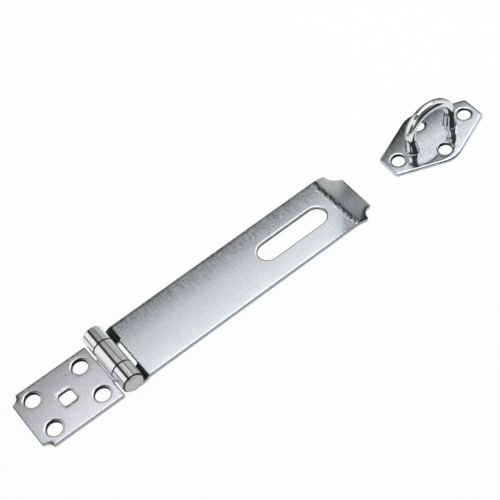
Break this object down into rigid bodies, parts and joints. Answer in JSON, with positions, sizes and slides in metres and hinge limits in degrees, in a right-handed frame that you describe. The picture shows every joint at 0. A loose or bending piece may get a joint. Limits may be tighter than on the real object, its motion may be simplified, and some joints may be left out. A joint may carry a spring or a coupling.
{
  "type": "hasp",
  "caption": "Safety hasp laid open: a square-holed hinge leaf, a slotted strap with a bent tip, and a separate staple with a round-bar loop for a padlock.",
  "frame": {"origin": "centre of the hinge leaf's screw holes, on the leaf's back face (the door's face)", "axes": "+X along the open strap towards its tip and the staple, +Y along the hinge pin, +Z off the door"},
  "size_m": [0.3395, 0.0476, 0.032],
  "materials": {
    "zinc_sheet": "satin zinc plate over rolled steel sheet",
    "zinc_bar": "bright zinc plate over drawn steel bar"
  },
  "bodies": {
    "leaf": {"hinge_leaf": "zinc_sheet", "staple_plate": "zinc_sheet", "staple_loop": "zinc_bar"},
    "strap": {"hasp_strap": "zinc_sheet", "hinge_pin": "zinc_bar"}
  },
  "joints": [
    {"name": "strap_hinge", "type": "hinge", "parent": "leaf", "child": "strap", "pos_m": [0.034, 0, 0.00709], "axis": [0, -1, 0], "range_deg": [0, 179.2]}
  ]
}
